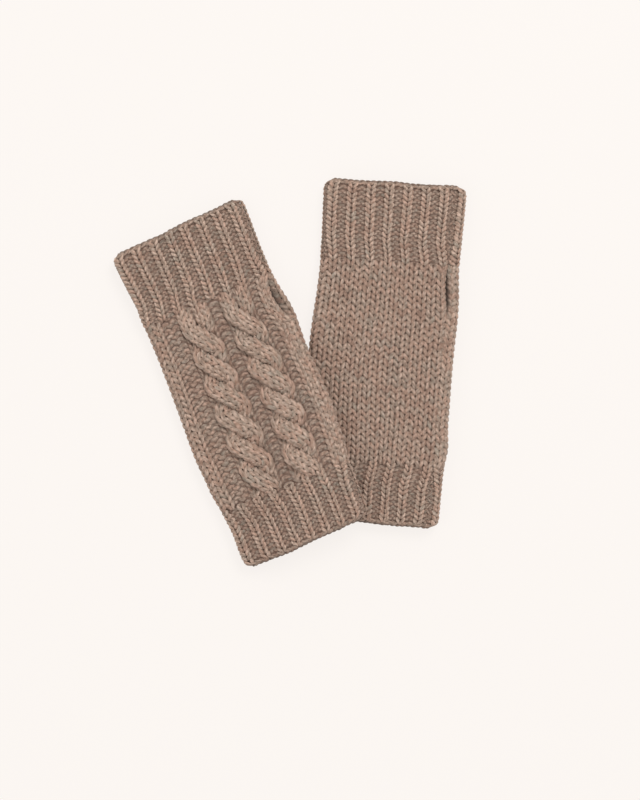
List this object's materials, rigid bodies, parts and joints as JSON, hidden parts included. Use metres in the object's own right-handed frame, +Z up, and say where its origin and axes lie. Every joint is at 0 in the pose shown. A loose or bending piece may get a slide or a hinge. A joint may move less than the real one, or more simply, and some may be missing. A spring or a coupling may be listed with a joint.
{
  "type": "pair of fingerless gloves",
  "caption": "Pair of cable-knit fingerless gloves with ribbed finger and wrist cuffs and a thumb slit in the side of each, lying flat and crossed.",
  "frame": {"origin": "on the surface the gloves lie on, under the middle of the pair's box", "axes": "+Z up from the surface, +Y towards the finger ends, +X across the pair towards the right-hand glove"},
  "size_m": [0.2152, 0.2358, 0.0279],
  "materials": {
    "back_knit": "heathered taupe wool, reverse stockinette, matt",
    "palm_knit": "heathered taupe wool, stockinette, matt",
    "rib_knit": "heathered taupe wool, one-by-one rib, matt",
    "cable_knit": "heathered taupe wool, rope cable, matt",
    "edge_yarn": "heathered taupe wool, bound edge, matt",
    "seam_yarn": "heathered taupe wool, mattress seam, matt"
  },
  "bodies": {
    "right_hand": {"right_back_panel": "back_knit", "right_palm_panel": "palm_knit", "right_cable_little_finger_side": "cable_knit", "right_cable_thumb_side": "cable_knit", "right_side_seam": "seam_yarn", "right_slit_edge_back": "edge_yarn", "right_slit_edge_palm": "edge_yarn", "right_wrist_rib": "rib_knit", "right_wrist_seam": "seam_yarn", "right_cast_on_edge": "edge_yarn"},
    "right_finger_cuff": {"right_finger_rib": "rib_knit", "right_finger_seam": "seam_yarn", "right_bind_off_edge": "edge_yarn"},
    "left_hand": {"left_back_panel": "back_knit", "left_palm_panel": "palm_knit", "left_cable_little_finger_side": "cable_knit", "left_cable_thumb_side": "cable_knit", "left_side_seam": "seam_yarn", "left_slit_edge_back": "edge_yarn", "left_slit_edge_palm": "edge_yarn"},
    "left_finger_cuff": {"left_finger_rib": "rib_knit", "left_finger_seam": "seam_yarn", "left_bind_off_edge": "edge_yarn"},
    "left_wrist_cuff": {"left_wrist_rib": "rib_knit", "left_wrist_seam": "seam_yarn", "left_cast_on_edge": "edge_yarn"}
  },
  "joints": [
    {"name": "left_glove_lift", "type": "slide", "parent": "right_hand", "child": "left_hand", "axis": [0, 0, 1], "range_m": [0, 0.15]},
    {"name": "right_finger_cuff_fold", "type": "hinge", "parent": "right_hand", "child": "right_finger_cuff", "pos_m": [0.06164, 0.06687, 0.0144], "axis": [0.9973, -0.0732, 0], "range_deg": [0, 90]},
    {"name": "left_finger_cuff_fold", "type": "hinge", "parent": "left_hand", "child": "left_finger_cuff", "pos_m": [-0.04981, 0.04376, 0.0123], "axis": [0.9225, 0.3859, 0], "range_deg": [0, 90]},
    {"name": "left_wrist_cuff_fold", "type": "hinge", "parent": "left_hand", "child": "left_wrist_cuff", "pos_m": [0.01295, -0.06223, 0.027], "axis": [-0.8971, -0.3753, -0.2334], "range_deg": [0, 90]}
  ]
}
